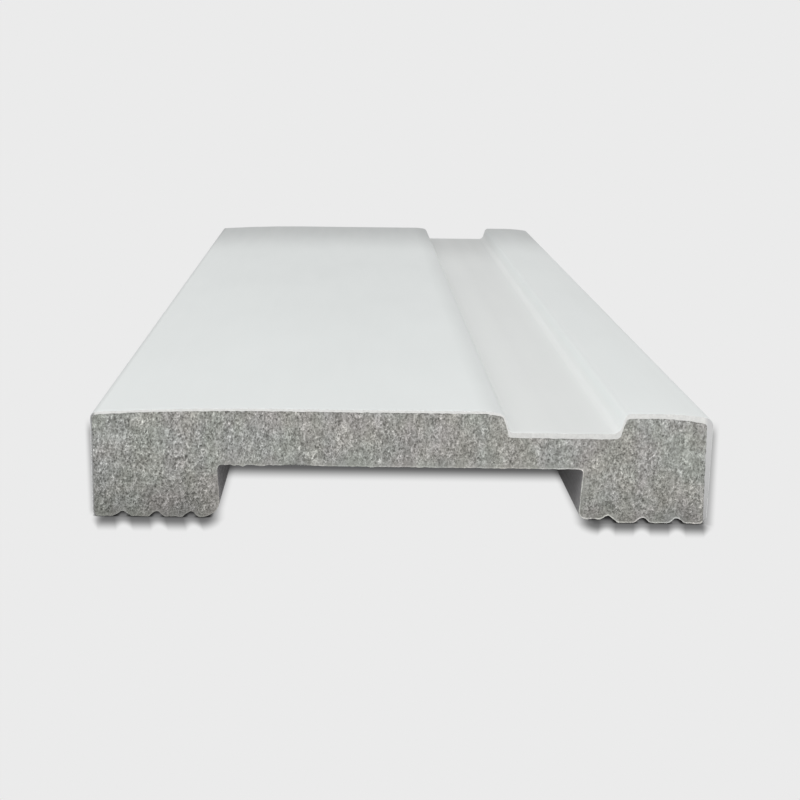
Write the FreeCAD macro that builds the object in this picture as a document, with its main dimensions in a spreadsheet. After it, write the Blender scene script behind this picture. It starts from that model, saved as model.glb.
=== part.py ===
import FreeCAD, Part
import math
import os
import Sketcher

# Architrave moulding: a length of foamed plastic trim with a white film on its face and edges.
# Millimetres. X runs across the width, with the recess towards +X, Y runs along the moulding, and +Z is up
# through its thickness. The moulding lies face up on its two feet. The origin is the middle of its base.

# Name, value, meaning. Lengths are in millimetres and angles in degrees.
SIZES = (
    ("overall_width", 100.0, "across the moulding, film included"),
    ("piece_length", 250.0, "cut length"),
    ("face_height", 18.0, "soles of the feet to the foam under the main face"),
    ("main_crown_width", 27.0, "part of the main face that eases down to the left edge"),
    ("main_crown_drop", 0.9, "how far the main face eases down to the left edge"),
    ("recess_width", 19.8, "corner of the main face to the corner of the band"),
    ("recess_depth", 3.9, "main face down to the recess floor"),
    ("recess_ease_run", 2.2, "strip of the main face that slopes towards the recess"),
    ("recess_ease_drop", 0.38, "how far that strip goes down"),
    ("recess_left_lean", 17.4, "angle of the recess wall under the main face, from upright"),
    ("recess_right_lean", 17.0, "angle of the recess wall under the band, from upright"),
    ("recess_edge_radius", 1.0, "rounded edge between the main face and the recess"),
    ("recess_floor_radius", 0.8, "fillets along the recess floor"),
    ("band_width", 13.8, "right side to the inner corner of the raised band"),
    ("band_height", 3.45, "recess floor up to the foam under the band"),
    ("band_crown_width", 9.3, "part of the band that eases down to the right edge"),
    ("band_crown_drop", 0.7, "how far the band eases down"),
    ("band_edge_radius", 0.7, "rounded edge between the band and the recess"),
    ("side_edge_radius", 0.7, "rounded upper edges of both sides"),
    ("film_face", 0.45, "film thickness over the main face"),
    ("film_left_wall", 0.3, "film thickness on the recess wall under the main face"),
    ("film_recess", 0.9, "film thickness over the recess floor"),
    ("film_right_wall", 0.4, "film thickness on the recess wall under the band"),
    ("film_band", 0.85, "film thickness over the band"),
    ("film_left_fillet", 0.8, "fillet of the film at the foot of the wall under the main face"),
    ("film_right_fillet", 1.5, "fillet of the film at the foot of the wall under the band"),
    ("film_left", 0.25, "film thickness on the left side"),
    ("film_right_top", 0.95, "film thickness at the top of the right side"),
    ("film_right_hem", 0.6, "film thickness at the foot of the right side"),
    ("channel_depth", 8.9, "soles of the feet up to the roof of the back channel"),
    ("channel_root_radius", 0.6, "fillets where the feet meet the roof of the channel"),
    ("foot_flare", 0.5, "how much wider each foot is at its sole than at the roof of the channel"),
    ("heel_radius", 0.5, "outer corner of each sole"),
    ("toe_land", 4.9, "middle of the last groove to the inner wall of the foot"),
    ("left_toe_radius", 3.0, "inner corner of the left sole"),
    ("right_toe_radius", 1.3, "inner corner of the right sole"),
    ("right_toe_lift", 0.55, "how far the innermost land of the right foot stands off the floor"),
    ("groove_inset", 4.85, "outer side to the middle of the first groove"),
    ("groove_pitch", 5.6, "from groove to groove"),
    ("groove_width", 2.6, "width of a groove where its flanks meet the sole"),
    ("groove_flank", 40.0, "angle of a groove's flanks, from the sole"),
    ("groove_top_radius", 0.7, "rounded top of a groove"),
    ("groove_shoulder_radius", 1.0, "rounded shoulders of a groove"),
)
GROOVES_PER_FOOT = 3
HALF_WIDTH = "Sizes.overall_width / 2"
FILM = {
    "main": "Sizes.film_face",
    "left_wall": "Sizes.film_left_wall",
    "recess": "Sizes.film_recess",
    "right_wall": "Sizes.film_right_wall",
    "band": "Sizes.film_band",
}
BARE = dict.fromkeys(FILM, "0")


def make_sheet(doc):
    """The driving sizes, one to a row: name, value, meaning."""
    sheet = doc.addObject("Spreadsheet::Sheet", "Sizes")
    for row, (name, value, meaning) in enumerate(SIZES, start=1):
        sheet.set(f"A{row}", name)
        sheet.set(f"B{row}", str(value))
        sheet.set(f"C{row}", meaning)
        sheet.setAlias(f"B{row}", name)
    doc.recompute()
    return sheet


def from_left(inset):
    """X of a point that lies this far in from the left side."""
    return f"{inset} - {HALF_WIDTH}"


def from_right(inset):
    """X of a point that lies this far in from the right side."""
    return f"{HALF_WIDTH} - ({inset})"


def crown_radius(width, drop, film):
    """Radius of the arc that eases a face down by drop over width, clear of the rounded side edge."""
    half = f"(Sizes.{width} / 2)"
    reach = f"({half} - Sizes.side_edge_radius - {film})"
    return f"{reach} / tan(atan(Sizes.{drop} / {half}) / 2)"


def face_corners(prefix, left_inset, right_inset, film, fillets):
    """Corners of the face from the left side to the right side: name, X, Z and the radius that rounds each.

    film says how thick the film is on each run of the face, and fillets are the radii at the two feet of
    the recess walls. Each corner is where the two runs beside it meet, moved out by their film.
    """
    floor = "(Sizes.face_height - Sizes.recess_depth)"
    band = f"({floor} + Sizes.band_height)"
    main_edge = "(Sizes.overall_width - Sizes.band_width - Sizes.recess_width)"
    left_lean = "tan(Sizes.recess_left_lean)"
    right_lean = "tan(Sizes.recess_right_lean)"
    main_foot = f"({main_edge} + (Sizes.recess_depth - Sizes.recess_ease_drop) * {left_lean})"
    band_foot = f"(Sizes.band_width + Sizes.band_height * {right_lean})"
    left_shift = f"{film['left_wall']} / cos(Sizes.recess_left_lean)"
    right_shift = f"{film['right_wall']} / cos(Sizes.recess_right_lean)"

    slope = "atan(Sizes.recess_ease_drop / Sizes.recess_ease_run)"
    ease_radius = f"0.5 * Sizes.recess_ease_run / tan({slope} / 2)"
    edge_rise = f"{film['main']} / cos({slope})"
    edge_out = f"(({left_shift} - {left_lean} * {edge_rise}) / (1 - tan({slope}) * {left_lean}))"
    return [
        (
            f"{prefix}_left_edge",
            from_left(left_inset),
            f"Sizes.face_height - Sizes.main_crown_drop + {film['main']}",
            f"Sizes.side_edge_radius + {film['main']}",
        ),
        (
            f"{prefix}_main_crown",
            from_left(f"{left_inset} + Sizes.main_crown_width / 2"),
            f"Sizes.face_height + {film['main']}",
            crown_radius("main_crown_width", "main_crown_drop", FILM["main"]) + f" + {film['main']}",
        ),
        (
            f"{prefix}_recess_ease",
            from_left(f"{main_edge} - Sizes.recess_ease_run + {film['main']} * tan({slope} / 2)"),
            f"Sizes.face_height + {film['main']}",
            f"{ease_radius} + {film['main']}",
        ),
        (
            f"{prefix}_recess_edge",
            from_left(f"{main_edge} + {edge_out}"),
            f"Sizes.face_height - Sizes.recess_ease_drop + {edge_rise} - {edge_out} * tan({slope})",
            f"Sizes.recess_edge_radius + {film['left_wall']}",
        ),
        (
            f"{prefix}_floor_left",
            from_left(f"{main_foot} + {left_shift} - {film['recess']} * {left_lean}"),
            f"{floor} + {film['recess']}",
            fillets[0],
        ),
        (
            f"{prefix}_floor_right",
            from_right(f"{band_foot} + {right_shift} - {film['recess']} * {right_lean}"),
            f"{floor} + {film['recess']}",
            fillets[1],
        ),
        (
            f"{prefix}_band_edge",
            from_right(f"Sizes.band_width + {right_shift} - {film['band']} * {right_lean}"),
            f"{band} + {film['band']}",
            f"Sizes.band_edge_radius + {film['right_wall']}",
        ),
        (
            f"{prefix}_band_crown",
            from_right(f"{right_inset} + Sizes.band_crown_width / 2"),
            f"{band} + {film['band']}",
            crown_radius("band_crown_width", "band_crown_drop", FILM["band"]) + f" + {film['band']}",
        ),
        (
            f"{prefix}_right_edge",
            from_right(right_inset),
            f"{band} - Sizes.band_crown_drop + {film['band']}",
            f"Sizes.side_edge_radius + {film['band']}",
        ),
    ]


def sole_corners(side, place, film, toe_radius, toe_lift):
    """Corners of one foot from its outer side to the roof of the channel: heel, grooves, toe and root.

    The innermost land stands off the floor by toe_lift, and the groove beside it rises half as much.
    """
    rise = "tan(Sizes.groove_flank)"
    shoulder = "Sizes.groove_shoulder_radius"
    corners = [(f"{side}_heel", place(film), "0", "Sizes.heel_radius")]
    for count in range(GROOVES_PER_FOOT):
        lift = toe_lift if count == GROOVES_PER_FOOT - 1 else "0"
        middle = f"Sizes.groove_inset + {count} * Sizes.groove_pitch"
        top = f"(Sizes.groove_width / 2 * {rise} + {lift} / 2)"
        name = f"{side}_groove_{count + 1}"
        corners += [
            (f"{name}_outer", place(f"{middle} - {top} / {rise}"), "0", shoulder),
            (f"{name}_top", place(middle), top, "Sizes.groove_top_radius"),
            (f"{name}_inner", place(f"{middle} + ({top} - {lift}) / {rise}"), lift, shoulder),
        ]
    mouth = f"Sizes.groove_inset + {GROOVES_PER_FOOT - 1} * Sizes.groove_pitch + Sizes.toe_land"
    toe_room = f"(Sizes.toe_land - Sizes.groove_width / 2 - {shoulder} * tan(Sizes.groove_flank / 2))"
    toe_turn = f"(90 deg + atan(Sizes.foot_flare / (Sizes.channel_depth - {toe_lift})))"
    largest = f"{toe_room} / tan({toe_turn} / 2)"
    root = "Sizes.channel_root_radius"
    corners += [
        (f"{side}_toe", place(mouth), toe_lift, f"min({toe_radius}; {largest})"),
        (f"{side}_root", place(f"{mouth} - Sizes.foot_flare"), "Sizes.channel_depth", root),
    ]
    return corners


def back_corners():
    """Corners of the soles and the back channel, from the right side back to the left side."""
    right = sole_corners(
        "right", from_right, "Sizes.film_right_hem", "Sizes.right_toe_radius", "Sizes.right_toe_lift"
    )
    left = sole_corners("left", from_left, "Sizes.film_left", "Sizes.left_toe_radius", "0")
    return right + left[::-1]


def sketch_across(body, name):
    """A sketch on the body's own XZ plane, across the moulding."""
    sketch = body.newObject("Sketcher::SketchObject", name)
    plane = next(item for item in body.Origin.OriginFeatures if item.Role == "XZ_Plane")
    sketch.AttachmentSupport = [(plane, "")]
    sketch.MapMode = "FlatFace"
    return sketch


def number(sketch, text):
    """What an expression on the sheet comes to."""
    return float(sketch.evalExpression(text))


def draw_outline(sketch, corners):
    """A closed outline of straight runs, with an arc at each corner that has a radius."""
    points = [FreeCAD.Vector(number(sketch, c[1]), number(sketch, c[2]), 0) for c in corners]
    rounds = []
    for index, point in enumerate(points):
        before = (point - points[index - 1]).normalize()
        after = (points[(index + 1) % len(points)] - point).normalize()
        turn = math.atan2(before.cross(after).z, before.dot(after))
        radius = number(sketch, corners[index][3]) if corners[index][3] else 0.0
        reach = radius * math.tan(abs(turn) / 2)
        rounds.append((point - before * reach, point + after * reach, before, turn, radius))

    lines = []
    for index in range(len(points)):
        lines.append(sketch.addGeometry(Part.LineSegment(rounds[index - 1][1], rounds[index][0])))

    joins = []
    sizes = []
    for index, (name, across, up, radius_text) in enumerate(corners):
        line_in = lines[index]
        line_out = lines[(index + 1) % len(lines)]
        if radius_text is None:
            joins.append(Sketcher.Constraint("Coincident", line_in, 2, line_out, 1))
            place = (line_out, 1)
        else:
            arc, arc_joins = round_corner(sketch, rounds[index], line_in, line_out)
            corner_point = sketch.addGeometry(Part.Point(points[index]), True)
            joins += arc_joins
            joins.append(Sketcher.Constraint("PointOnObject", corner_point, 1, line_in))
            joins.append(Sketcher.Constraint("PointOnObject", corner_point, 1, line_out))
            place = (corner_point, 1)
            radius = Sketcher.Constraint("Radius", arc, rounds[index][4])
            sizes.append((radius, f"{name}_radius", radius_text))
        point = points[index]
        sizes.append((Sketcher.Constraint("DistanceX", *place, point.x), f"{name}_across", across))
        sizes.append((Sketcher.Constraint("DistanceY", *place, point.y), f"{name}_up", up))

    sketch.addConstraint(joins)
    first = sketch.ConstraintCount
    sketch.addConstraint([constraint for constraint, name, text in sizes])
    for index, (constraint, name, text) in enumerate(sizes, start=first):
        sketch.renameConstraint(index, name)
        sketch.setExpression(f"Constraints.{name}", text)


def round_corner(sketch, corner, line_in, line_out):
    """An arc from one run to the next, with the constraints that keep it tangent to both."""
    start, end, before, turn, radius = corner
    side = 1.0 if turn > 0 else -1.0
    inward = FreeCAD.Vector(-before.y, before.x, 0) * side
    centre = start + inward * radius
    circle = Part.Circle(centre, FreeCAD.Vector(0, 0, 1), radius)
    first = math.atan2(start.y - centre.y, start.x - centre.x)
    last = math.atan2(end.y - centre.y, end.x - centre.x)
    if turn > 0:
        arc = sketch.addGeometry(Part.ArcOfCircle(circle, first, last))
        near, far = 1, 2
    else:
        arc = sketch.addGeometry(Part.ArcOfCircle(circle, last, first))
        near, far = 2, 1
    joins = [
        Sketcher.Constraint("Tangent", line_in, 2, arc, near),
        Sketcher.Constraint("Tangent", arc, far, line_out, 1),
    ]
    return arc, joins


def pad_along(body, name, sketch):
    """The sketch drawn out along the moulding, half to each side of the middle."""
    pad = body.newObject("PartDesign::Pad", name)
    pad.Profile = sketch
    pad.SideType = "Symmetric"
    pad.setExpression("Length", "Sizes.piece_length")
    return pad


def make_foam_core(doc):
    """The foam: the whole section inside the film, feet and grooves with it."""
    body = doc.addObject("PartDesign::Body", "FoamCore")
    body.Label = "foam_core"
    section = sketch_across(body, "CoreSection")
    draw_outline(section, foam_face() + back_corners())
    pad_along(body, "CorePad", section)
    doc.recompute()
    return body


def foam_face():
    """Corners of the foam's own face, which the film lies on."""
    fillet = "Sizes.recess_floor_radius"
    return face_corners("core", "Sizes.film_left", "Sizes.film_right_top", BARE, (fillet, fillet))


def make_face_film(doc):
    """The film: it wraps the face and both sides, and stops above the rounded heels."""
    body = doc.addObject("PartDesign::Body", "FaceFilm")
    body.Label = "face_film"
    section = sketch_across(body, "FilmSection")
    hem = "Sizes.heel_radius"
    outer = face_corners("film", "0", "0", FILM, ("Sizes.film_left_fillet", "Sizes.film_right_fillet"))
    right_hem = [
        ("right_hem_outer", from_right("0"), hem, "0.8 * Sizes.film_right_hem"),
        ("right_hem_inner", from_right("Sizes.film_right_hem"), hem, None),
    ]
    left_hem = [
        ("left_hem_inner", from_left("Sizes.film_left"), hem, None),
        ("left_hem_outer", from_left("0"), hem, "0.8 * Sizes.film_left"),
    ]
    draw_outline(section, outer + right_hem + foam_face()[::-1] + left_hem)
    pad_along(body, "FilmPad", section)
    doc.recompute()
    return body


def check(doc, bodies):
    """Stop if anything in the document failed, or a sub-part isn't one sound solid."""
    for item in doc.Objects:
        if "Invalid" in item.State or "Error" in item.State:
            raise RuntimeError(f"{item.Name} failed: {item.State}")
    for item in doc.findObjects("Sketcher::SketchObject"):
        if not item.FullyConstrained:
            raise RuntimeError(f"{item.Name} isn't fully constrained")
    for body in bodies:
        shape = body.Shape
        if shape.isNull() or not shape.isValid() or len(shape.Solids) != 1:
            raise RuntimeError(f"{body.Label} isn't one valid solid")


def main():
    doc = FreeCAD.newDocument("ArchitraveMoulding")
    make_sheet(doc)
    bodies = [make_foam_core(doc), make_face_film(doc)]
    doc.recompute()
    check(doc, bodies)

    os.makedirs("parts", exist_ok=True)
    for body in bodies:
        body.Shape.exportStep(f"parts/{body.Label}.step")
        box = body.Shape.BoundBox
        print(
            f"{body.Label}: {body.Shape.Volume / 1000:.1f} cm3, "
            f"{box.XLength:.2f} x {box.YLength:.2f} x {box.ZLength:.2f} mm, lowest {box.ZMin:.2f}"
        )


main()
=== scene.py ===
import math

import bpy
import numpy as np
from mathutils import Matrix, Vector, geometry, noise
from mathutils.kdtree import KDTree


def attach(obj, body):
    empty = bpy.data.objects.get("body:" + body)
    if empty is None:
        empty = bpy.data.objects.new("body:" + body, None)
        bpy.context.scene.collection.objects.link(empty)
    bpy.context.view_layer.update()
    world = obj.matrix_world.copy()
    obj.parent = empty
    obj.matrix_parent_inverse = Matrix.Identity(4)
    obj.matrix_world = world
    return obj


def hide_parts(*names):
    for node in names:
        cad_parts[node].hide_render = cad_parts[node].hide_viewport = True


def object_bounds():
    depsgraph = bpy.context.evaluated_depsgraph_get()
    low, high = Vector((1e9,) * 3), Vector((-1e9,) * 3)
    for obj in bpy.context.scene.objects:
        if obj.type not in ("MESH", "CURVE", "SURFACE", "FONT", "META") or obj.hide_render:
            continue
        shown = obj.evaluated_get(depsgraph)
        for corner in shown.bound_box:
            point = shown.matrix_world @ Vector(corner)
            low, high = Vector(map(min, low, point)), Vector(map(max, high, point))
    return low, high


# A cut length of architrave moulding: grey foam under a white film, face up on its two feet.
# X runs across the width, Y along the moulding, Z is up, and the near cut end looks towards -Y.
# Lengths are in metres.
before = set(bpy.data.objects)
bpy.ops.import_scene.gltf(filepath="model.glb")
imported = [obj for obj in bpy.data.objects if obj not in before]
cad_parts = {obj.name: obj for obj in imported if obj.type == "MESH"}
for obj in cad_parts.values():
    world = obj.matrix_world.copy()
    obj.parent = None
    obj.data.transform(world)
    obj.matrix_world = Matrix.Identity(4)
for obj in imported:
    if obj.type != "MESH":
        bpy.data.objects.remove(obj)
cad_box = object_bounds()

MM = 0.001
HALF_WIDTH = cad_box[1][0]
HALF_LENGTH = cad_box[1][1]

# Camera, measured in the photograph's own 800 x 800 pixels
PHOTO_SIDE_PX = 800
FOCAL_PX = 1450
CENTRE_X_PX = 330
SENSOR_MM = 36
CAMERA_PLACE = Vector((-8.82, -350.53, 74.05)) * MM
CAMERA_PITCH = math.radians(13.484)
CAMERA_YAW = math.radians(-0.661)
CAMERA_ROLL = math.radians(0.573)
CAMERA_NEAREST = 0.01

# Light: how much each lamp gives where it stands square to the moulding's near end, a white sheet giving 1
SKY = 0.62
BACKDROP = 0.831
KEY_LEVEL = 0.29
KEY_DIRECTION = Vector((-0.10, -0.65, 0.74)).normalized()
KEY_DISTANCE = 0.50
KEY_SIZE = 0.30
LEFT_LEVEL = 0.23
RIGHT_LEVEL = 0.06
SIDE_DIRECTION = Vector((0.85, -0.20, 0.45)).normalized()
SIDE_DISTANCE = 1.5
SIDE_SIZE = 0.8

# Below, four numbers are a ramp: from here, to here, the value before, the value after

# Patterns: the spread of a noise, where curled lines break off, and the shift from one pattern to the next
NOISE_RANGE = (0.3, 0.7)
CURL_BREAKS = (0.45, 0.60)
PATTERN_SHIFT = (31 * MM, 17 * MM, 53 * MM)

# Floor, just under the soles
FLOOR_SIDE = 12.0
FLOOR_DROP = 0.02 * MM
FLOOR_COLOUR = 0.80

# Shadow in front of the feet: even close to them, then fading. A distance ahead is divided by a stretch,
# which is less at each groove, and a distance beside the feet by a share.
SHADOW_EVEN = 1.5 * MM
SHADOW_REACH = 8.5 * MM
SHADOW_DEEP_LEVEL = 0.14
SHADOW_LEVEL = 0.21
SHADOW_STRETCH = (-30 * MM, 30 * MM, 0.94, 0.90)
SHADOW_WAVE = 0.33
SHADOW_LEAN = 0.2
SHADOW_GROOVE_LIFT = 0.7
SHADOW_OUTER = HALF_WIDTH - 1.5 * MM
SHADOW_OUTER_SHIFT = (-30 * MM, 30 * MM, 0.7 * MM, 0.0)
SHADOW_OUTER_SHARE = 0.30
SHADOW_INNER = 31.9 * MM
SHADOW_INNER_SHARE = (HALF_LENGTH - 5 * MM, HALF_LENGTH + 1 * MM, 0.40, 0.46)
GROOVE_PLACE = 45.15 * MM
GROOVE_PITCH = 5.6 * MM

# Shadow beside the near end: it slants outwards from the two near corners, and fades in and out along them
SIDE_SHADOW_LEVEL = 0.48
SIDE_SHADOW_INNER = HALF_WIDTH - 2.5 * MM
SIDE_SHADOW_FADE_IN = 3.0 * MM
SIDE_SHADOW_FADE_OUT = 14.0 * MM
SIDE_SHADOW_FADE_OUTWARDS = (-0.15, 0.85, 1 - SIDE_SHADOW_LEVEL, 0.0)
# The next five at the left and at the right: how far out, from and to where behind the near end, how soft,
# and how slanted
SIDE_SHADOW_EDGE = (HALF_WIDTH - 0.35 * MM, HALF_WIDTH)
SIDE_SHADOW_START = (0.0, -3.0 * MM)
SIDE_SHADOW_END = (66.0 * MM, 69.5 * MM)
SIDE_SHADOW_SOFT = (1.45 * MM, 1.85 * MM)
SIDE_SHADOW_SLANT = (0.190, 0.260)

# Shadow under the moulding: right under the soles, and deep inside the channel and the grooves
CONTACT_REACH = 0.6 * MM
CONTACT_SAMPLES = 16
CONTACT_LEVEL = (0.35, 0.95, 0.14, 1.0)
FOOT_INNER = 31.0 * MM
FOOT_FADE = 3.0 * MM
CHANNEL_LIT_DEPTH = 21.2 * MM
CHANNEL_FADE = 9.5 * MM
DARK_LEVEL = 0.14

# Meshes: spacing of points along the outlines, over the cut ends and along the length
OUTLINE_STEP = 0.35 * MM
OUTLINE_LEAST = 0.1 * MM
HIDDEN_STEP = 0.9 * MM
FILM_STEP = 0.25 * MM
FILM_LEAST = 0.05 * MM
FOAM_CUT_STEP = 0.21 * MM
FILM_CUT_STEP = 0.15 * MM
LENGTH_STEP = 9.0 * MM
NEAR_CUT_ROWS = tuple(depth * MM for depth in (0.12, 0.3, 0.6, 1.2, 2.4, 4.8))
CUT_SHIFT = 0.18
CUT_CLEARANCE = 0.6
SEARCH_STEP = 0.1 * MM
TOUCHING = 0.12 * MM
SAME_PLACE = 0.01 * MM
PLACE_DIGITS = 8
FILL_TOLERANCE = 1e-6
FOAM_SEED = 3
FILM_SEED = 5

# Foam: torn cells on the cut ends, taller than wide, which lean to the right over the left foot. A slice is
# where each end reads a noise, so that the two ends differ.
CELL_SIZE = 0.90 * MM
CELL_SHARE = 0.50
GRAIN_SIZE = 0.46 * MM
GRAIN_SHARE = 0.40
CELL_BEND = 0.5
CELL_DEPTH = 0.12 * MM
CELL_STRETCH = 0.52
CELL_SEED = 1
CELL_LEAN = 0.08
CELL_LEAN_FROM = -10.0 * MM
CELL_LEAN_TO = -30.0 * MM
CELL_SLICE = 0.1
RIM_CELL_SHARE = 0.35
SWELL_SIZE = 6.0 * MM
SWELL_DEPTH = 0.06 * MM
SWELL_SLICE = 0.3

# Foam: chipped rims, a hidden rim just inside the film's cut, and marks under the web at the near end
SKIN_ZONE = 1.1 * MM
CHIP_SIZE = 0.9 * MM
CHIP_DEPTH = 0.14 * MM
CHIP_ZONE = 0.6 * MM
CHIP_SHARE = 0.35
CHIP_SHIFT = 0.5
HIDDEN_RIM_SHIFT = 0.06 * MM
WEB_HALF_WIDTH = 28.2 * MM
WEB_MARKS = [(x * MM, size * MM, depth * MM) for x, size, depth in (
    (-16.8, 2.2, 0.30), (-22.4, 0.5, -0.10), (-25.4, 0.4, -0.22), (-26.9, 0.3, -0.16), (-4.6, 0.4, -0.14),
)]
DIE_LINE_SIZE = 0.5 * MM
DIE_LINE_DEPTH = 0.015 * MM

# Cut foam's look: the patterns that lift its surface, each with its size and how much it lifts
FOAM_GRAIN_STRETCH = 0.75
FOAM_FINE_SIZE = 0.40 * MM
FOAM_FINE_BEND = 0.5
FOAM_FINE_LIFT = 1.75
FOAM_GRIT_SIZE = 0.22 * MM
FOAM_GRIT_LIFT = 1.1
FOAM_LUMP_LIFT = 0.5
FOAM_WALLS = {"size": 1.0 * MM, "width": 0.05, "break_size": 0.8 * MM, "lift": 0.42}
FOAM_CRACKS = {"size": 0.9 * MM, "width": 0.045, "break_size": 0.7 * MM, "lift": -0.12}
FOAM_BUSY_SIZE = 1.9 * MM
FOAM_BUSY = (0.38, 0.60, 0.85, 1.12)
FOAM_CALM_RIM = (0.0, 0.9, 1.0, 0.35)
FOAM_CALM_RIGHT = (-35 * MM, 35 * MM, 1.03, 0.90)
FOAM_BUMP = 0.15 * MM

# Cut foam's look: its level, which grows with the lift, and what changes it over the section
FOAM_LEVEL = 0.367
# The contrast and its power make the foam paler where it stands high: partly its own grain, partly painted
# light on high places and painted shade in pits
FOAM_CONTRAST = 0.28
FOAM_CONTRAST_POWER = 4.0
FOAM_CLOUD_SIZE = 2.6 * MM
FOAM_CLOUDS = (*NOISE_RANGE, 0.885, 1.095)
# Painted shade low down at the left, and painted light high up at the right
FOAM_PAINTED_LIGHT_SHADE_HEIGHT = 13.0 * MM
FOAM_PAINTED_SHADE_LOW = (-30 * MM, 30 * MM, 0.82, 1.0)
FOAM_PAINTED_LIGHT_HIGH = (20 * MM, 35 * MM, 1.0, 1.06)
FOAM_LINE_FROM, FOAM_LINE_TO = 0.72, 0.86
FOAM_LINE_LEFT = (-32 * MM, -28 * MM, -0.2, 0.0)
FOAM_LINE_RIGHT = (22 * MM, 32 * MM, 1.3, 2.0)
FOAM_GREEN = (0.965, 1.0, 0.920)
FOAM_BROWN = (1.013, 0.994, 0.912)
FOAM_MAUVE = (1.006, 0.985, 1.03)
FOAM_BROWN_SIZE = 5.5 * MM
FOAM_MAUVE_SIZE = 3.4 * MM
FOAM_HUE_FROM, FOAM_HUE_TO = 0.36, 0.64
FOAM_BLUE = (0.10, 0.50, 0.97, 1.01)

# Foam skin's look: faint lines along the length, pores and clouds
SKIN_LINE_SIZE = 0.45 * MM
SKIN_LINE_LIFT = 0.6
SKIN_PORE_SIZE = 0.5 * MM
SKIN_PORE_LIFT = 0.4
SKIN_CLOUD_SIZE = 7.0 * MM
SKIN_CLOUD_AMOUNT = 0.5
SKIN_DARK, SKIN_PALE = 0.21, 0.30
SKIN_TINT = (1.0, 0.98, 0.99)
SKIN_BUMP = 0.12 * MM

# Film: a slightly rounded, slightly ragged cut edge, and a faint wave along the length
FILM_EDGE = 0.09 * MM
FILM_RAG_SIZE = 1.3 * MM
FILM_RAG_DEPTH = 0.05 * MM
FILM_RAG_SLICE = 0.2
FILM_INNER_RAG_SIZE = 0.8 * MM
FILM_INNER_RAG_DEPTH = 0.13 * MM
FILM_INNER_RAG_SHARE = 0.3
FILM_WAVE_SIZE = Vector((9.0, 70.0, 9.0)) * MM
FILM_WAVE_DEPTH = 0.012 * MM
FILM_SHARP = math.radians(50)

# Film's look: grain, lines and clouds, painted shade along the left edge, and painted shade over the far
# end
FILM_GRAIN_SIZE = 0.35 * MM
FILM_GRAIN_LIFT = 0.35
FILM_LINE_SIZE = 1.4 * MM
FILM_LINE_LIFT = 0.65
FILM_CLOUD_SIZE = 18.0 * MM
FILM_LEVEL = (*NOISE_RANGE, 0.800, 0.822)
FILM_SIDE_TINT = (0.985, 1.0, 0.985)
FILM_FACE_TINT = (0.965, 1.0, 0.99)
FILM_FACE_FROM, FILM_FACE_TO = 14 * MM, 17 * MM
FILM_LEFT_EDGE_SHADE_LEVEL = (13 * MM, 16.5 * MM, 0.9, 0.60)
FILM_LEFT_EDGE_SHADE_WIDTH = 1.3 * MM
FILM_FAR_SHADE_LEVEL = 0.65
FILM_FAR_SHADE_SIDE_LEVEL = 0.825
FILM_FAR_SHADE_LENGTH = 65.0 * MM
FILM_ROUGH_SIZE = 3.0 * MM
FILM_ROUGHNESS = (*NOISE_RANGE, 0.42, 0.50)
FILM_BUMP = 0.02 * MM
# Painted shade and painted highlight across the recess. Runs from X to X in mm, and how many times lighter
# the film gets over each
RECESS_PAINTED_LIGHT_AND_SHADE = (
    (12.3, 15.3, 0.915),
    (16.1, 16.9, 1.093),
    (17.3, 19.2, 1.035),
    (19.6, 25.5, 0.920),
    (31.0, 34.0, 1.040),
    (35.0, 35.4, 1.030),
    (35.75, 36.3, 0.925),
    (36.4, 36.85, 1.060),
)

# Film cut's look: cream on top, painted shade at the right side, darker lower down, and darker painted
# shade at the left one
CUT_GRAIN_SIZE = 0.4 * MM
CUT_LEVEL = (*NOISE_RANGE, 0.735, 0.835)
CUT_RECESS_LEVEL = (15.2 * MM, 16.0 * MM, 0.95, 1.0)
CUT_TINT = (1.0, 1.0, 0.975)
RIGHT_CUT_SHADE_LOW, RIGHT_CUT_SHADE_HIGH = 0.50, 0.63
RIGHT_CUT_SHADE_TOP = 16 * MM
RIGHT_CUT_SHADE_FROM, RIGHT_CUT_SHADE_TO = 48.6 * MM, 49.1 * MM
LEFT_CUT_SHADE = 0.32
LEFT_CUT_SHADE_EDGE = (-49.5 * MM, -49.1 * MM, 1.0, 0.0)
CUT_BUMP = 0.05 * MM


def end_outline(node):
    """Corners (X, Z) of the CAD node's section, counter-clockwise as seen from the near end."""
    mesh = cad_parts[node].data
    runs = {}
    for face in mesh.polygons:
        places = [tuple(round(value, PLACE_DIGITS) for value in mesh.vertices[v].co) for v in face.vertices]
        if all(abs(place[1] + HALF_LENGTH) < SAME_PLACE for place in places):
            for start, end in zip(places, places[1:] + places[:1]):
                if (end, start) in runs:
                    del runs[end, start]
                else:
                    runs[start, end] = True
    following = {start: end for start, end in runs}
    first = next(iter(following))
    loop = [first]
    while following[loop[-1]] != first:
        loop.append(following[loop[-1]])
    return [(x, z) for x, y, z in loop]


def distance_tree(points):
    """A search tree that gives the distance from a point (X, Z) to the nearest of these."""
    tree = KDTree(len(points))
    for index, (x, z) in enumerate(points):
        tree.insert((x, 0, z), index)
    tree.balance()
    return tree


def distance(tree, x, z):
    return tree.find((x, 0, z))[2]


def divided(corners, step_at):
    """The outline with points added along its runs, step_at(X, Z) apart."""
    points = []
    for (x0, z0), (x1, z1) in zip(corners, corners[1:] + corners[:1]):
        length = math.hypot(x1 - x0, z1 - z0)
        parts = max(1, round(length / step_at((x0 + x1) / 2, (z0 + z1) / 2)))
        points += [(x0 + (x1 - x0) * i / parts, z0 + (z1 - z0) * i / parts) for i in range(parts)]
    return points


def thinned(points, least):
    """The outline without the points that lie closer than least to the one before them."""
    kept = [points[0]]
    for point in points[1:]:
        if math.dist(point, kept[-1]) >= least:
            kept.append(point)
    return kept


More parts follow.
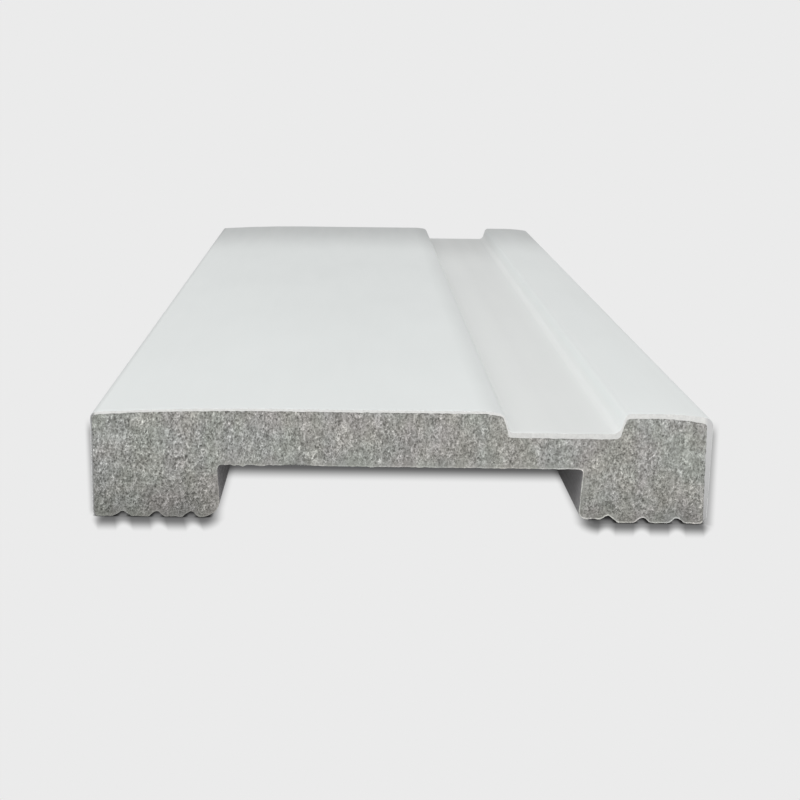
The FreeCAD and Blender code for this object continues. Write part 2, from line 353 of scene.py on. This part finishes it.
def inward_normals(points):
    """For each point of the outline, the direction (X, Z) into the section."""
    normals = []
    for index, point in enumerate(points):
        before = points[index - 1]
        after = points[(index + 1) % len(points)]
        along = (after[0] - before[0], after[1] - before[1])
        length = math.hypot(*along)
        normals.append((-along[1] / length, along[0] / length))
    return normals


def filled(outline, step, seed):
    """Triangles that fill the outline, and the points inside it that they use.

    Points of a triangle are numbered along the outline first, and then through the inner points.
    """
    rim = distance_tree(outline)
    rng = np.random.default_rng(seed)
    low = np.min(outline, axis=0)
    high = np.max(outline, axis=0)
    inner = []
    row_step = step * math.sqrt(3) / 2
    for row, z in enumerate(np.arange(low[1], high[1], row_step)):
        for x in np.arange(low[0] + (row % 2) * step / 2, high[0], step):
            shift = rng.uniform(-CUT_SHIFT, CUT_SHIFT, 2) * step
            place = (x + shift[0], z + shift[1])
            if distance(rim, *place) > CUT_CLEARANCE * step:
                inner.append(place)
    flat = [Vector(point) / MM for point in outline + inner]
    runs = [(index, (index + 1) % len(outline)) for index in range(len(outline))]
    _, _, faces, origins, _, _ = geometry.delaunay_2d_cdt(flat, runs, [], 1, FILL_TOLERANCE)
    faces = [[origins[corner][0] for corner in face] for face in faces]
    used = sorted({corner for face in faces for corner in face if corner >= len(outline)})
    number = {corner: len(outline) + count for count, corner in enumerate(used)}
    number.update({index: index for index in range(len(outline))})
    triangles = [[number[corner] for corner in face] for face in faces]
    return triangles, [inner[corner - len(outline)] for corner in used]


def row_places():
    """Y of each row of points along the moulding: close together near both cut ends."""
    inset = NEAR_CUT_ROWS[-1]
    middle = 2 * (HALF_LENGTH - inset)
    parts = round(middle / LENGTH_STEP)
    near = [-HALF_LENGTH] + [-HALF_LENGTH + depth for depth in NEAR_CUT_ROWS[:-1]]
    between = [-HALF_LENGTH + inset + middle * i / parts for i in range(parts + 1)]
    return near + between + [-y for y in reversed(near)]


def moulded_mesh(name, outline, side_point, cut_step, cut_height, seed):
    """A closed mesh: the outline drawn along Y, with a finely divided cut face on each end.

    side_point(index, x, z, y, depth) places a point of the side, depth from the nearer end.
    cut_height(x, z, end) is how far a point of a cut face lies inside the end, with end -1 or 1.
    """
    rows = row_places()
    count = len(outline)
    triangles, inner = filled(outline, cut_step, seed)
    points = []
    for y in rows:
        depth = HALF_LENGTH - abs(y)
        points += [side_point(index, x, z, y, depth) for index, (x, z) in enumerate(outline)]
    faces = []
    for row in range(len(rows) - 1):
        for index in range(count):
            after = (index + 1) % count
            here, there = row * count, (row + 1) * count
            faces.append((here + index, there + index, there + after, here + after))
    side_faces = len(faces)
    for end, ring in ((-1, 0), (1, (len(rows) - 1) * count)):
        first_inner = len(points)
        points += [(x, end * (HALF_LENGTH - cut_height(x, z, end)), z) for x, z in inner]
        for triangle in triangles:
            corners = [ring + c if c < count else first_inner + c - count for c in triangle]
            faces.append(corners if end < 0 else corners[::-1])
    mesh = bpy.data.meshes.new(name)
    mesh.from_pydata(points, [], faces)
    mesh.polygons.foreach_set("use_smooth", [True] * len(faces))
    cut_faces = len(faces) - side_faces
    mesh.polygons.foreach_set("material_index", [1] * side_faces + [0] * cut_faces)
    rims = set(range(count)) | set(range((len(rows) - 1) * count, len(rows) * count))
    for edge in mesh.edges:
        start, end = edge.vertices
        if start in rims and end in rims and abs(start - end) in (1, count - 1):
            edge.use_edge_sharp = True
    mesh.validate()
    return mesh


def add_values(mesh, name, values):
    """One number for each point of the mesh, which the materials read by this name."""
    attribute = mesh.attributes.new(name, "FLOAT", "POINT")
    attribute.data.foreach_set("value", values)


def clamped(value):
    return min(max(value, 0.0), 1.0)


def torn_cells(x, z, end):
    """Height of the foam's torn cells at a point of a cut end, from 0 in a pit to 1 on a wall."""
    lean = CELL_LEAN * clamped((x - CELL_LEAN_FROM) / (CELL_LEAN_TO - CELL_LEAN_FROM))
    place = Vector((x - lean * z, z * CELL_STRETCH, CELL_SLICE * (2 + end)))
    bend = noise.noise_vector(place / (2 * CELL_SIZE)) * CELL_BEND
    cells = noise.noise(place / CELL_SIZE + bend)
    grain = noise.noise(place / GRAIN_SIZE + bend)
    return clamped(0.5 + CELL_SHARE * cells + GRAIN_SHARE * grain)


def search_outline(node):
    """A search tree for the distance from a place to a CAD node's outline."""
    return distance_tree(divided(end_outline(node), lambda x, z: SEARCH_STEP))


def build_foam():
    """The foam core: torn cells on the cut ends, chipped rims and a lined skin on the back."""
    film_tree = search_outline("face_film")

    def under_film(x, z):
        return distance(film_tree, x, z) < TOUCHING

    corners = end_outline("foam_core")
    outline = divided(corners, lambda x, z: HIDDEN_STEP if under_film(x, z) else OUTLINE_STEP)
    outline = thinned(outline, OUTLINE_LEAST)
    normals = inward_normals(outline)
    bare = [not under_film(x, z) for x, z in outline]
    skin_tree = distance_tree([point for point, open_side in zip(outline, bare) if open_side])

    def side_point(index, x, z, y, depth):
        inset = 0.0
        shift = 0.0
        if bare[index]:
            line = noise.noise(Vector((index * OUTLINE_STEP / DIE_LINE_SIZE, 0, 0)))
            fade = max(0.0, 1 - depth / CHIP_ZONE)
            chip = max(0.0, CHIP_SHARE + noise.noise(Vector((x, y, z)) / CHIP_SIZE))
            inset = DIE_LINE_DEPTH * (1 + line) + CHIP_DEPTH * chip * fade
            if y < 0 and abs(x) < WEB_HALF_WIDTH:
                marks = (deep * math.exp(-((x - place) / size) ** 2) for place, size, deep in WEB_MARKS)
                inset += fade * sum(marks)
            if depth == 0:
                shift = CHIP_DEPTH * CHIP_SHIFT * chip
        elif depth == 0:
            shift = HIDDEN_RIM_SHIFT
        away = math.copysign(HALF_LENGTH - depth - shift, y)
        return (x + normals[index][0] * inset, away, z + normals[index][1] * inset)

    def cut_height(x, z, end):
        swell = SWELL_DEPTH * (1 + noise.noise(Vector((x, z, SWELL_SLICE * end)) / SWELL_SIZE))
        inside = min(distance(skin_tree, x, z) / SKIN_ZONE, 1.0)
        share = RIM_CELL_SHARE + (1 - RIM_CELL_SHARE) * inside
        return swell + CELL_DEPTH * (1 - torn_cells(x, z, end)) * share

    mesh = moulded_mesh("foam", outline, side_point, FOAM_CUT_STEP, cut_height, FOAM_SEED)
    places = [tuple(vertex.co) for vertex in mesh.vertices]
    add_values(mesh, "relief", [torn_cells(x, z, math.copysign(1, y)) for x, y, z in places])
    add_values(mesh, "skin", [max(0.0, 1 - distance(skin_tree, x, z) / SKIN_ZONE) for x, y, z in places])
    mesh.materials.append(foam_cut_material())
    mesh.materials.append(foam_skin_material())
    return place_piece(mesh, "foam_core")


def build_film():
    """The film: smooth outside, with a narrow rounded edge and a little rag where it was cut."""
    outline = thinned(divided(end_outline("face_film"), lambda x, z: FILM_STEP), FILM_LEAST)
    normals = inward_normals(outline)
    foam_tree = search_outline("foam_core")
    inner = [distance(foam_tree, x, z) < TOUCHING for x, z in outline]

    def rag_depth(place):
        return FILM_RAG_DEPTH * (0.5 + 0.5 * noise.noise(Vector(place) / FILM_RAG_SIZE))

    def side_point(index, x, z, y, depth):
        wave = noise.noise(Vector((x / FILM_WAVE_SIZE.x, y / FILM_WAVE_SIZE.y, z / FILM_WAVE_SIZE.z)))
        inset = FILM_WAVE_DEPTH * (0.5 + 0.5 * wave)
        shift = 0.0
        if depth == 0:
            shift = rag_depth((x, y, z))
            rag = noise.noise(Vector((x, y, z)) / FILM_INNER_RAG_SIZE)
            inner_rag = FILM_INNER_RAG_DEPTH * max(0.0, FILM_INNER_RAG_SHARE + rag)
            inset = -inner_rag if inner[index] else inset + FILM_EDGE
        away = math.copysign(HALF_LENGTH - depth - shift, y)
        return (x + normals[index][0] * inset, away, z + normals[index][1] * inset)

    def cut_height(x, z, end):
        return rag_depth((x, FILM_RAG_SLICE * end, z))

    mesh = moulded_mesh("white_film", outline, side_point, FILM_CUT_STEP, cut_height, FILM_SEED)
    mesh.materials.append(film_cut_material())
    mesh.materials.append(film_material())
    mesh.set_sharp_from_angle(angle=FILM_SHARP)
    return place_piece(mesh, "face_film")


def place_piece(mesh, node):
    """An object that rides with the part and stands for a CAD node, which it hides."""
    piece = bpy.data.objects.new(mesh.name, mesh)
    bpy.context.scene.collection.objects.link(piece)
    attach(piece, "root")
    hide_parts(node)
    return piece


class Nodes:
    """A node tree being put together: each call adds a node, and links or sets its inputs."""

    def __init__(self, owner):
        owner.use_nodes = True
        self.owner = owner
        self.tree = owner.node_tree
        self.tree.nodes.clear()

    def add(self, kind, inputs=(), **settings):
        node = self.tree.nodes.new(f"ShaderNode{kind}")
        for key, value in settings.items():
            setattr(node, key, value)
        for key, value in dict(inputs).items():
            if isinstance(value, bpy.types.NodeSocket):
                self.tree.links.new(value, node.inputs[key])
            else:
                node.inputs[key].default_value = value
        return node

    def math(self, operation, a, b=0.0, c=0.0):
        return self.add("Math", {0: a, 1: b, 2: c}, operation=operation).outputs[0]

    def sum(self, first, *others):
        for other in others:
            first = self.math("ADD", first, other)
        return first

    def product(self, first, *others):
        for other in others:
            first = self.math("MULTIPLY", first, other)
        return first

    def ramp(self, value, low, high, out_low=0.0, out_high=1.0, smooth=False):
        """From low to high, a value carried over to out_low to out_high, and held there outside."""
        inputs = {0: value, 1: low, 2: high, 3: out_low, 4: out_high}
        kind = "SMOOTHSTEP" if smooth else "LINEAR"
        return self.add("MapRange", inputs, interpolation_type=kind).outputs[0]

    def mix(self, share, a, b, blend="MIX"):
        inputs = {0: share, 6: a, 7: b}
        settings = {"data_type": "RGBA", "blend_type": blend, "clamp_factor": True}
        return self.add("Mix", inputs, **settings).outputs[2]

    def tinted(self, a, b):
        """One colour times the other."""
        return self.mix(1.0, a, b, blend="MULTIPLY")

    def paint(self, red, green, blue):
        return self.add("CombineColor", {0: red, 1: green, 2: blue}).outputs[0]

    def place(self, along=1.0):
        """The place on the object, with Y made this many times larger: under 1, patterns are drawn out."""
        where = self.add("TexCoord").outputs["Object"]
        return self.add("Mapping", {"Vector": where, "Scale": (1.0, along, 1.0)}).outputs[0]

    def place_parts(self):
        """The place on the object as its three coordinates: across, along and upward."""
        return self.add("SeparateXYZ", {0: self.add("TexCoord").outputs["Object"]}).outputs

    def place_shifted(self, place):
        """The same place read elsewhere in the pattern, so that two patterns of one kind differ."""
        return self.add("Mapping", {"Vector": place, "Location": PATTERN_SHIFT}).outputs[0]

    def noise(self, place, size, detail=2.0, roughness=0.5, distortion=0.0):
        inputs = {
            "Vector": place,
            "Scale": 1 / size,
            "Detail": detail,
            "Roughness": roughness,
            "Distortion": distortion,
        }
        return self.add("TexNoise", inputs).outputs["Fac"]

    def swing(self, value, amount):
        """A value from 0 to 1 as a swing about 0."""
        return self.math("MULTIPLY_ADD", value, amount, -0.5 * amount)

    def curls(self, place, size, width, break_size, lift):
        """Thin curled lines where a noise passes its middle, broken up by a second noise."""
        across = self.noise(place, size, detail=1.0, roughness=0.4, distortion=1.2)
        away = self.math("ABSOLUTE", self.math("SUBTRACT", across, 0.5))
        line = self.ramp(away, 0.0, width, 1.0, 0.0, smooth=True)
        kept = self.ramp(self.noise(place, break_size, detail=0.0), *CURL_BREAKS, smooth=True)
        return self.product(line, kept, lift)

    def attribute(self, name):
        return self.add("Attribute", attribute_name=name).outputs["Fac"]

    def surface(self, colour, height, depth, strength, roughness, gloss):
        """The whole material: a plain surface of this colour, with its height as a bump of this depth."""
        bump = self.add("Bump", {"Height": height, "Distance": depth, "Strength": strength})
        inputs = {
            "Base Color": colour,
            "Roughness": roughness,
            "Specular IOR Level": gloss,
            "Normal": bump.outputs[0],
        }
        return self.finish(self.add("BsdfPrincipled", inputs))

    def finish(self, shader, output="OutputMaterial"):
        """The owner of the tree, with this shader at the tree's end."""
        self.add(output, {"Surface": shader.outputs[0]})
        return self.owner


def new_material(name):
    return Nodes(bpy.data.materials.new(name))


def grey(level, tint=(1.0, 1.0, 1.0)):
    """A colour as sockets take it: this level of grey, times a tint."""
    return (level * tint[0], level * tint[1], level * tint[2], 1.0)


def foam_height(s, across, where, close, skin):
    """How high the torn foam stands: fine grain, grit and cells, with pale curled walls and dark cracks."""
    fine = s.swing(s.noise(close, FOAM_FINE_SIZE, detail=1.0, distortion=FOAM_FINE_BEND), FOAM_FINE_LIFT)
    grit = s.swing(s.noise(close, FOAM_GRIT_SIZE, detail=0.0), FOAM_GRIT_LIFT)
    lumps = s.swing(s.attribute("relief"), FOAM_LUMP_LIFT)
    walls = s.curls(where, **FOAM_WALLS)
    cracks = s.curls(s.place_shifted(where), **FOAM_CRACKS)
    busy = s.ramp(s.noise(where, FOAM_BUSY_SIZE, detail=1.0), *FOAM_BUSY, smooth=True)
    height = s.sum(s.product(s.sum(fine, grit), busy), lumps, s.sum(walls, cracks))
    return s.product(height, s.ramp(skin, *FOAM_CALM_RIM), s.ramp(across, *FOAM_CALM_RIGHT))


def foam_level(s, across, upward, where, height, skin):
    """How pale the torn foam is: paler where it stands high, partly by its grain and partly by painted
    light there and painted shade in its pits; painted shade low down at the left, painted light high up at
    the right; pale along its skin.
    """
    # Paler where it stands high: partly its grain, partly painted light on high places and painted shade in
    # pits
    lift = s.math("MULTIPLY_ADD", height, FOAM_CONTRAST, 1.0)
    level = s.product(s.math("POWER", lift, FOAM_CONTRAST_POWER), FOAM_LEVEL)
    clouds = s.ramp(s.noise(where, FOAM_CLOUD_SIZE, detail=2.0), *FOAM_CLOUDS)
    # Painted shade low down at the left, and painted light high up at the right
    low, high = s.ramp(across, *FOAM_PAINTED_SHADE_LOW), s.ramp(across, *FOAM_PAINTED_LIGHT_HIGH)
    painted_light_and_shade = s.ramp(upward, 0.0, FOAM_PAINTED_LIGHT_SHADE_HEIGHT, low, high)
    line = s.sum(s.ramp(across, *FOAM_LINE_LEFT), s.ramp(across, *FOAM_LINE_RIGHT))
    return s.product(level, clouds, painted_light_and_shade, s.ramp(skin, FOAM_LINE_FROM, FOAM_LINE_TO, 1.0, line))


def foam_cut_material():
    """Torn foam, with faint brown, green and mauve clouds."""
    s = new_material("foam_cut")
    across, along, upward = s.place_parts()
    lean = s.ramp(across, CELL_LEAN_TO, CELL_LEAN_FROM, CELL_LEAN, 0.0)
    unleaned = s.math("SUBTRACT", across, s.product(lean, upward))
    where, close = (
        s.add("CombineXYZ", {0: unleaned, 1: along, 2: s.product(upward, stretch)}).outputs[0]
        for stretch in (CELL_STRETCH, FOAM_GRAIN_STRETCH)
    )
    skin = s.attribute("skin")
    height = foam_height(s, across, where, close, skin)
    level = foam_level(s, across, upward, where, height, skin)
    brown = s.ramp(s.noise(s.place(), FOAM_BROWN_SIZE, detail=3.0), FOAM_HUE_FROM, FOAM_HUE_TO)
    plain = s.ramp(s.noise(where, FOAM_MAUVE_SIZE, detail=1.0), FOAM_HUE_FROM, FOAM_HUE_TO)
    hue = s.mix(brown, grey(1.0, FOAM_GREEN), grey(1.0, FOAM_BROWN))
    hue = s.mix(plain, s.tinted(hue, grey(1.0, FOAM_MAUVE)), hue)
    colour = s.tinted(hue, s.paint(level, level, s.product(level, s.ramp(level, *FOAM_BLUE))))
    return s.surface(colour, height, FOAM_BUMP, strength=1.0, roughness=0.9, gloss=0.3)


def foam_skin_material():
    """The foam's moulded skin on the back: smoother, with faint lines along the length."""
    s = new_material("foam_skin")
    lines = s.noise(s.place(along=0.015), SKIN_LINE_SIZE, detail=3.0)
    pores = s.noise(s.place(), SKIN_PORE_SIZE, detail=2.0)
    clouds = s.noise(s.place(along=0.3), SKIN_CLOUD_SIZE, detail=2.0)
    height = s.sum(s.product(lines, SKIN_LINE_LIFT), s.product(pores, SKIN_PORE_LIFT))
    pale = s.ramp(s.sum(height, s.swing(clouds, SKIN_CLOUD_AMOUNT)), *NOISE_RANGE)
    colour = s.mix(pale, grey(SKIN_DARK, SKIN_TINT), grey(SKIN_PALE, SKIN_TINT))
    return s.surface(colour, height, SKIN_BUMP, strength=0.6, roughness=0.72, gloss=0.4)


def film_material():
    """Satin white film with a faint grain and fainter lines, with painted shade at the left edge and the
    far end, and painted shade and highlight across the recess.
    """
    s = new_material("film_satin")
    grain = s.noise(s.place(), FILM_GRAIN_SIZE, detail=2.0)
    lines = s.noise(s.place(along=0.01), FILM_LINE_SIZE, detail=3.0)
    clouds = s.noise(s.place(along=0.4), FILM_CLOUD_SIZE, detail=2.0)
    height = s.sum(s.product(grain, FILM_GRAIN_LIFT), s.product(lines, FILM_LINE_LIFT))
    across, along, upward = s.place_parts()
    face = (FILM_FACE_FROM, FILM_FACE_TO)
    tint = s.mix(s.ramp(upward, *face), grey(1.0, FILM_SIDE_TINT), grey(1.0, FILM_FACE_TINT))
    # Painted shade along the rounded left edge, darkest on the face
    left_edge_shade_darkest = s.ramp(upward, *FILM_LEFT_EDGE_SHADE_LEVEL)
    left_edge_shade = s.ramp(across, -HALF_WIDTH, -HALF_WIDTH + FILM_LEFT_EDGE_SHADE_WIDTH, left_edge_shade_darkest, 1.0)
    # Painted shade over the far end, lighter below the face
    far_shade_darkest = s.ramp(upward, *face, FILM_FAR_SHADE_SIDE_LEVEL, FILM_FAR_SHADE_LEVEL)
    far_shade = s.ramp(along, HALF_LENGTH - FILM_FAR_SHADE_LENGTH, HALF_LENGTH, 1.0, far_shade_darkest, smooth=True)
    level = s.product(s.ramp(clouds, *FILM_LEVEL), s.product(left_edge_shade, far_shade))
    # Painted shade and painted highlight in bands across the recess
    for start, end, change in RECESS_PAINTED_LIGHT_AND_SHADE:
        level = s.product(level, s.ramp(across, start * MM, end * MM, 1.0, change))
    colour = s.tinted(tint, s.paint(level, level, level))
    roughness = s.ramp(s.noise(s.place(along=0.1), FILM_ROUGH_SIZE, detail=2.0), *FILM_ROUGHNESS)
    return s.surface(colour, height, FILM_BUMP, strength=0.25, roughness=roughness, gloss=0.5)


def film_cut_material():
    """The film's own cut: matt cream, a little darker in the recess, with painted shade at both sides."""
    s = new_material("film_cut")
    grain = s.noise(s.place(), CUT_GRAIN_SIZE, detail=2.0)
    across, _, upward = s.place_parts()
    level = s.product(s.ramp(grain, *CUT_LEVEL), s.ramp(upward, *CUT_RECESS_LEVEL))
    cream = s.tinted(s.paint(level, level, level), grey(1.0, CUT_TINT))
    # Painted shade at the right side, darker lower down
    right = s.mix(s.ramp(upward, 0.0, RIGHT_CUT_SHADE_TOP), grey(RIGHT_CUT_SHADE_LOW), grey(RIGHT_CUT_SHADE_HIGH))
    colour = s.mix(s.ramp(across, RIGHT_CUT_SHADE_FROM, RIGHT_CUT_SHADE_TO), cream, right)
    # Darker painted shade at the left side
    colour = s.mix(s.ramp(across, *LEFT_CUT_SHADE_EDGE), colour, grey(LEFT_CUT_SHADE))
    return s.surface(colour, grain, CUT_BUMP, strength=0.5, roughness=0.7, gloss=0.4)


def seen_directly(s):
    """1 for what the camera sees, also in gloss and through clear things, and 0 for light on its way."""
    path = s.add("LightPath").outputs
    seen = s.math("MAXIMUM", path["Is Camera Ray"], path["Is Glossy Ray"])
    return s.math("MAXIMUM", seen, path["Is Transmission Ray"])


def front_shadow(s, x, across, along):
    """How much light the shadow in front of the feet leaves, by the distance from their outline."""
    ahead = s.math("MAXIMUM", s.math("SUBTRACT", along, HALF_LENGTH), 0.0)
    leaning = s.math("MULTIPLY_ADD", ahead, SHADOW_LEAN, across)
    turns = 2 * math.pi / GROOVE_PITCH
    turn = s.math("MULTIPLY_ADD", leaning, turns, -turns * GROOVE_PLACE)
    groove = s.ramp(s.math("COSINE", turn), 0.0, 1.0)
    length = s.math("MULTIPLY_ADD", groove, -SHADOW_WAVE, s.ramp(x, *SHADOW_STRETCH))
    before = s.math("DIVIDE", ahead, length)
    outer = s.sum(across, s.ramp(x, *SHADOW_OUTER_SHIFT))
    outside = s.math("DIVIDE", s.math("SUBTRACT", outer, SHADOW_OUTER), SHADOW_OUTER_SHARE)
    inner_share = s.ramp(along, *SHADOW_INNER_SHARE)
    inside = s.math("DIVIDE", s.math("SUBTRACT", SHADOW_INNER, across), inner_share)
    beside = s.math("MAXIMUM", s.math("MAXIMUM", outside, inside), 0.0)
    away = s.math("SQRT", s.sum(s.product(before, before), s.product(beside, beside)))
    near = s.ramp(away, 0.0, SHADOW_EVEN, SHADOW_DEEP_LEVEL, SHADOW_LEVEL)
    near = s.product(near, s.math("MULTIPLY_ADD", groove, SHADOW_GROOVE_LIFT, 1.0))
    return s.ramp(away, SHADOW_EVEN, SHADOW_REACH, near, 1.0, smooth=True)


def side_shadow(s, x, across, y):
    """How much light the shadow beside the near end leaves."""
    edge, start, end, soft, slant = (
        s.ramp(x, -HALF_WIDTH, HALF_WIDTH, *left_and_right)
        for left_and_right in (
            SIDE_SHADOW_EDGE, SIDE_SHADOW_START, SIDE_SHADOW_END, SIDE_SHADOW_SOFT, SIDE_SHADOW_SLANT,
        )
    )
    behind = s.sum(y, HALF_LENGTH)
    outside = s.math("SUBTRACT", across, s.math("MULTIPLY_ADD", behind, slant, edge))
    dark = s.ramp(s.math("DIVIDE", outside, soft), *SIDE_SHADOW_FADE_OUTWARDS, smooth=True)
    dark = s.product(dark, s.math("GREATER_THAN", across, SIDE_SHADOW_INNER))
    begun = s.ramp(s.math("SUBTRACT", behind, start), 0.0, SIDE_SHADOW_FADE_IN)
    lasting = s.ramp(s.math("SUBTRACT", end, behind), 0.0, SIDE_SHADOW_FADE_OUT, smooth=True)
    return s.math("SUBTRACT", 1.0, s.product(dark, s.product(begun, lasting)))


def under_shadow(s, across, along):
    """How much light is left deep inside the channel, and inside the grooves of the feet."""
    foot = s.math("GREATER_THAN", across, FOOT_INNER)
    lit_end = s.ramp(foot, 0.0, 1.0, HALF_LENGTH - CHANNEL_LIT_DEPTH, HALF_LENGTH)
    fade = s.ramp(foot, 0.0, 1.0, CHANNEL_FADE, FOOT_FADE)
    deep = s.ramp(s.math("DIVIDE", s.math("SUBTRACT", lit_end, along), fade), 0.0, 1.0, smooth=True)
    under = s.math("LESS_THAN", across, HALF_WIDTH)
    return s.math("SUBTRACT", 1.0, s.product(deep, under, 1 - DARK_LEVEL))


def floor_material():
    """Pale floor: plain to the light, as pale as the backdrop to the eye, with the moulding's shadows."""
    s = new_material("floor")
    x, y, _ = s.add("SeparateXYZ", {0: s.add("NewGeometry").outputs["Position"]}).outputs
    across = s.math("ABSOLUTE", x)
    along = s.math("ABSOLUTE", y)
    shadow = s.math("MINIMUM", front_shadow(s, x, across, along), side_shadow(s, x, across, y))
    contact = s.add("AmbientOcclusion", {"Distance": CONTACT_REACH}, samples=CONTACT_SAMPLES).outputs["AO"]
    light = s.product(shadow, s.ramp(contact, *CONTACT_LEVEL), under_shadow(s, across, along))
    level = s.product(light, FLOOR_COLOUR)
    plain = s.add("BsdfDiffuse", {"Color": s.paint(level, level, level)}).outputs[0]
    glow = s.add("Emission", {"Color": grey(BACKDROP), "Strength": light}).outputs[0]
    return s.finish(s.add("MixShader", {0: seen_directly(s), 1: plain, 2: glow}))


def build_floor():
    half = FLOOR_SIDE / 2
    mesh = bpy.data.meshes.new("floor")
    corners = [(-half, -half, 0), (half, -half, 0), (half, half, 0), (-half, half, 0)]
    mesh.from_pydata(corners, [], [(0, 1, 2, 3)])
    mesh.materials.append(floor_material())
    floor = bpy.data.objects.new("floor", mesh)
    floor.location.z = -FLOOR_DROP
    bpy.context.scene.collection.objects.link(floor)


def build_world():
    """Even studio light, and a pale backdrop where the camera looks past the floor."""
    s = Nodes(bpy.data.worlds.new("studio"))
    bpy.context.scene.world = s.owner
    strength = s.ramp(seen_directly(s), 0.0, 1.0, SKY, BACKDROP)
    s.finish(s.add("Background", {"Color": grey(1.0), "Strength": strength}), "OutputWorld")


def add_softbox(name, direction, away, size, level):
    """A square lamp this far from the middle of the near end, aimed at it."""
    target = Vector((0, -HALF_LENGTH, 0))
    data = bpy.data.lights.new(name, "AREA")
    data.size = size
    data.energy = level * (math.pi * away) ** 2
    lamp = bpy.data.objects.new(name, data)
    lamp.location = target + direction * away
    lamp.rotation_euler = direction.to_track_quat("Z", "Y").to_euler()
    bpy.context.scene.collection.objects.link(lamp)


def build_camera():
    """The photograph's own view: a long lens from just above the near end."""
    forward = Vector((
        math.sin(CAMERA_YAW) * math.cos(CAMERA_PITCH),
        math.cos(CAMERA_YAW) * math.cos(CAMERA_PITCH),
        -math.sin(CAMERA_PITCH),
    ))
    level_right = Vector((math.cos(CAMERA_YAW), -math.sin(CAMERA_YAW), 0))
    level_up = level_right.cross(forward)
    right = math.cos(CAMERA_ROLL) * level_right + math.sin(CAMERA_ROLL) * level_up
    up = math.cos(CAMERA_ROLL) * level_up - math.sin(CAMERA_ROLL) * level_right
    turn = Matrix((right, up, -forward)).transposed()
    data = bpy.data.cameras.new("camera")
    data.sensor_width = SENSOR_MM
    data.lens = SENSOR_MM * FOCAL_PX / PHOTO_SIDE_PX
    data.shift_x = (PHOTO_SIDE_PX / 2 - CENTRE_X_PX) / PHOTO_SIDE_PX
    data.clip_start = CAMERA_NEAREST
    camera = bpy.data.objects.new("camera", data)
    camera.matrix_world = Matrix.Translation(CAMERA_PLACE) @ turn.to_4x4()
    bpy.context.scene.collection.objects.link(camera)
    bpy.context.scene.camera = camera


# The noise that bends the cells starts from a seed, so that each run bends them alike
noise.seed_set(CELL_SEED)
build_foam()
build_film()
build_floor()
build_world()
add_softbox("key", KEY_DIRECTION, KEY_DISTANCE, KEY_SIZE, KEY_LEVEL)
add_softbox("right", SIDE_DIRECTION, SIDE_DISTANCE, SIDE_SIZE, RIGHT_LEVEL)
add_softbox("left", SIDE_DIRECTION * Vector((-1, 1, 1)), SIDE_DISTANCE, SIDE_SIZE, LEFT_LEVEL)
build_camera()
bpy.context.scene.view_settings.view_transform = "Standard"
